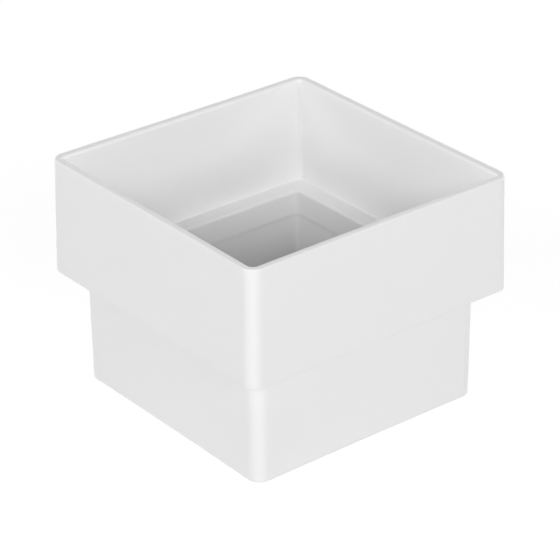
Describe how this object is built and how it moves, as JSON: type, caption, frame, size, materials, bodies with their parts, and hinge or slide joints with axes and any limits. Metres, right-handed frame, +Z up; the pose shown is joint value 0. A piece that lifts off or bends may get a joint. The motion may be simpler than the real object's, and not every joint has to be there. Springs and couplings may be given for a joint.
{
  "type": "downpipe connector",
  "caption": "Square downpipe connector: a drafted socket for the upper pipe over a narrower spigot that pushes into the lower pipe, with an inner ledge that stops the pipe.",
  "frame": {"origin": "centre of the spigot's open end, in the plane that the connector stands on", "axes": "+Z up along the pipe, from the spigot to the socket; X and Y square to the flat sides"},
  "size_m": [0.071, 0.071, 0.0535],
  "materials": {
    "white_pvc": "smooth white moulded rigid PVC with a soft sheen"
  },
  "bodies": {
    "root": {"connector_body": "white_pvc"}
  },
  "joints": []
}
